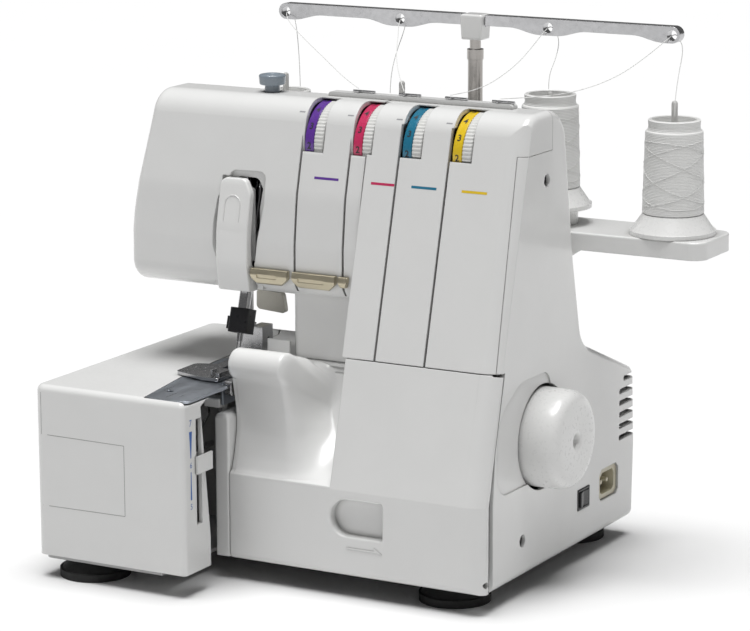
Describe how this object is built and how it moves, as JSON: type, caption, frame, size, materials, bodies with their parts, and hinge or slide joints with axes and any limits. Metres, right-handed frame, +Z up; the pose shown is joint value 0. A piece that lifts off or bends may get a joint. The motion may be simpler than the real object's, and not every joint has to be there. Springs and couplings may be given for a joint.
{
  "type": "overlock sewing machine",
  "caption": "Domestic overlock sewing machine with colour-coded tension dials, swing-open cloth plate, folding front cover, rear spool tray, thread cones and raised thread guide bar.",
  "frame": {"origin": "bottom centre of the bounding box, on the surface the feet stand on", "axes": "+X to the operator's right, along the machine's length; +Y from the operator to the back; +Z up"},
  "size_m": [0.365, 0.2675, 0.3396],
  "materials": {
    "white_case": "moulded ABS, glossy",
    "rubber_black": "matte",
    "chrome_bright": "polished",
    "plate_steel": "brushed",
    "frame_alloy": "die cast",
    "black_plastic": "satin",
    "beige_plastic": "satin",
    "dial_purple": "two-colour moulding with a white knurled band",
    "dial_red": "two-colour moulding with a white knurled band",
    "dial_teal": "two-colour moulding with a white knurled band",
    "dial_yellow": "two-colour moulding with a white knurled band",
    "motor_metal": "painted",
    "holder_plastic": "moulded",
    "pin_plastic": "moulded",
    "thread_white": "spun polyester sewing thread"
  },
  "bodies": {
    "root": {"arm_end_cover": "white_case", "arm_thread_guides": "beige_plastic", "base_pan": "white_case", "cone_holders": "holder_plastic", "cover_screws": "plate_steel", "drive_belt": "rubber_black", "front_post": "white_case", "guide_pole_lower": "chrome_bright", "head_cover": "white_case", "lower_knife": "chrome_bright", "main_frame": "frame_alloy", "motor_housing": "motor_metal", "needle_plate": "plate_steel", "pivot_pins": "chrome_bright", "power_inlet": "beige_plastic", "presser_spring": "plate_steel", "rear_cover": "white_case", "right_cover": "white_case", "rubber_feet": "rubber_black", "spool_pins": "pin_plastic", "spool_tray": "white_case", "switch_housing": "black_plastic", "tension_discs": "chrome_bright", "thread_clips": "chrome_bright", "top_guide_strip": "white_case"},
    "drive": {"handwheel": "white_case", "main_shaft": "plate_steel"},
    "motor": {"motor_rotor": "motor_metal"},
    "needle_drive": {"needle_bar": "chrome_bright", "needle_clamp": "black_plastic", "needles": "chrome_bright"},
    "takeup": {"takeup_lever": "white_case"},
    "presser": {"presser_bar": "chrome_bright", "presser_foot": "chrome_bright"},
    "lifter": {"lifter_lever": "beige_plastic"},
    "pressure": {"pressure_knob": "black_plastic"},
    "dial_1": {"tension_dial_1": "dial_purple"},
    "dial_2": {"tension_dial_2": "dial_red"},
    "dial_3": {"tension_dial_3": "dial_teal"},
    "dial_4": {"tension_dial_4": "dial_yellow"},
    "upper_loop": {"upper_looper": "chrome_bright"},
    "lower_loop": {"lower_looper": "chrome_bright"},
    "feed": {"feed_dog": "chrome_bright"},
    "knife": {"upper_knife": "chrome_bright"},
    "cloth_plate": {"cloth_plate_cover": "white_case"},
    "slider": {"width_slider": "white_case"},
    "front_rod": {"front_cover_hinge_rod": "chrome_bright"},
    "front": {"front_cover": "white_case"},
    "rocker": {"switch_rocker": "black_plastic"},
    "pole": {"guide_pole_upper": "chrome_bright", "guide_bar": "chrome_bright", "guide_bar_cap": "white_case", "thread_1": "thread_white", "thread_2": "thread_white", "thread_3": "thread_white", "thread_4": "thread_white"},
    "cone_1": {"thread_cone_1": "thread_white"},
    "cone_2": {"thread_cone_2": "thread_white"},
    "cone_3": {"thread_cone_3": "thread_white"},
    "cone_4": {"thread_cone_4": "thread_white"}
  },
  "joints": [
    {"name": "handwheel_turn", "type": "hinge", "parent": "root", "child": "drive", "pos_m": [0.11242, -0.00146, 0.094], "axis": [1, 0, 0], "continuous": true},
    {"name": "motor_turn", "type": "hinge", "parent": "root", "child": "motor", "pos_m": [0.06742, 0.08804, 0.056], "axis": [1, 0, 0], "continuous": true},
    {"name": "needle_bar_stroke", "type": "slide", "parent": "root", "child": "needle_drive", "axis": [0, 0.2924, 0.9563], "range_m": [-0.011, 0.01]},
    {"name": "takeup_lever_swing", "type": "hinge", "parent": "root", "child": "takeup", "pos_m": [-0.09258, -0.03296, 0.1785], "axis": [1, 0, 0], "range_deg": [0, 14]},
    {"name": "presser_lift", "type": "slide", "parent": "root", "child": "presser", "axis": [0, 0, 1], "range_m": [0, 0.005], "deforming": ["presser_spring"]},
    {"name": "lifter_swing", "type": "hinge", "parent": "root", "child": "lifter", "pos_m": [-0.10058, 0.01404, 0.186], "axis": [0, -1, 0], "range_deg": [0, 25]},
    {"name": "pressure_knob_turn", "type": "hinge", "parent": "root", "child": "pressure", "pos_m": [-0.08908, 0.00004, 0.295], "axis": [0, 0, 1], "continuous": true},
    {"name": "tension_dial_1_turn", "type": "hinge", "parent": "root", "child": "dial_1", "pos_m": [-0.04248, -0.00346, 0.265], "axis": [1, 0, 0], "range_deg": [-130, 180]},
    {"name": "tension_dial_2_turn", "type": "hinge", "parent": "root", "child": "dial_2", "pos_m": [-0.00848, -0.00346, 0.265], "axis": [1, 0, 0], "range_deg": [-130, 180]},
    {"name": "tension_dial_3_turn", "type": "hinge", "parent": "root", "child": "dial_3", "pos_m": [0.02552, -0.00346, 0.265], "axis": [1, 0, 0], "range_deg": [-130, 180]},
    {"name": "tension_dial_4_turn", "type": "hinge", "parent": "root", "child": "dial_4", "pos_m": [0.05952, -0.00346, 0.265], "axis": [1, 0, 0], "range_deg": [-130, 180]},
    {"name": "upper_looper_swing", "type": "hinge", "parent": "root", "child": "upper_loop", "pos_m": [-0.07888, -0.05846, 0.066], "axis": [0, 1, 0], "range_deg": [-6, 6]},
    {"name": "lower_looper_swing", "type": "hinge", "parent": "root", "child": "lower_loop", "pos_m": [-0.13258, -0.03546, 0.063], "axis": [0, 1, 0], "range_deg": [-2, 9]},
    {"name": "feed_dog_stroke", "type": "slide", "parent": "root", "child": "feed", "axis": [0, 1, 0], "range_m": [-0.002, 0.002]},
    {"name": "upper_knife_swing", "type": "hinge", "parent": "root", "child": "knife", "pos_m": [-0.07558, -0.01246, 0.0998], "axis": [1, 0, 0], "range_deg": [0, 5]},
    {"name": "cloth_plate_swing", "type": "hinge", "parent": "root", "child": "cloth_plate", "pos_m": [-0.17258, 0.06304, 0.06], "axis": [0, 0, -1], "range_deg": [0, 75]},
    {"name": "stitch_width_slide", "type": "slide", "parent": "cloth_plate", "child": "slider", "axis": [0, 0, 1], "range_m": [-0.026, 0.023]},
    {"name": "front_cover_shift", "type": "slide", "parent": "root", "child": "front_rod", "axis": [1, 0, 0], "range_m": [0, 0.008]},
    {"name": "front_cover_fold", "type": "hinge", "parent": "front_rod", "child": "front", "pos_m": [0.01742, -0.07636, 0.0195], "axis": [1, 0, 0], "range_deg": [0, 80]},
    {"name": "power_rocker", "type": "hinge", "parent": "root", "child": "rocker", "pos_m": [0.09722, 0.05604, 0.0413], "axis": [0, 0, -1], "range_deg": [0, 6]},
    {"name": "guide_pole_raise", "type": "slide", "parent": "root", "child": "pole", "axis": [0, 0, 1], "range_m": [0, 0.1]},
    {"name": "cone_1_spin", "type": "hinge", "parent": "root", "child": "cone_1", "pos_m": [-0.12208, 0.07204, 0.25], "axis": [0, 0, 1], "continuous": true},
    {"name": "cone_2_spin", "type": "hinge", "parent": "root", "child": "cone_2", "pos_m": [-0.03638, 0.07204, 0.25], "axis": [0, 0, 1], "continuous": true},
    {"name": "cone_3_spin", "type": "hinge", "parent": "root", "child": "cone_3", "pos_m": [0.06842, 0.07204, 0.25], "axis": [0, 0, 1], "continuous": true},
    {"name": "cone_4_spin", "type": "hinge", "parent": "root", "child": "cone_4", "pos_m": [0.15242, 0.07204, 0.25], "axis": [0, 0, 1], "continuous": true}
  ],
  "couplings": [
    {"joint": "motor_turn", "follows": "handwheel_turn", "ratio": 2.3333},
    {"joint": "lifter_swing", "follows": "presser_lift", "rad_per_m": 87},
    {"joint": "front_cover_shift", "follows": "front_cover_fold", "m_per_rad": 0.0057}
  ]
}
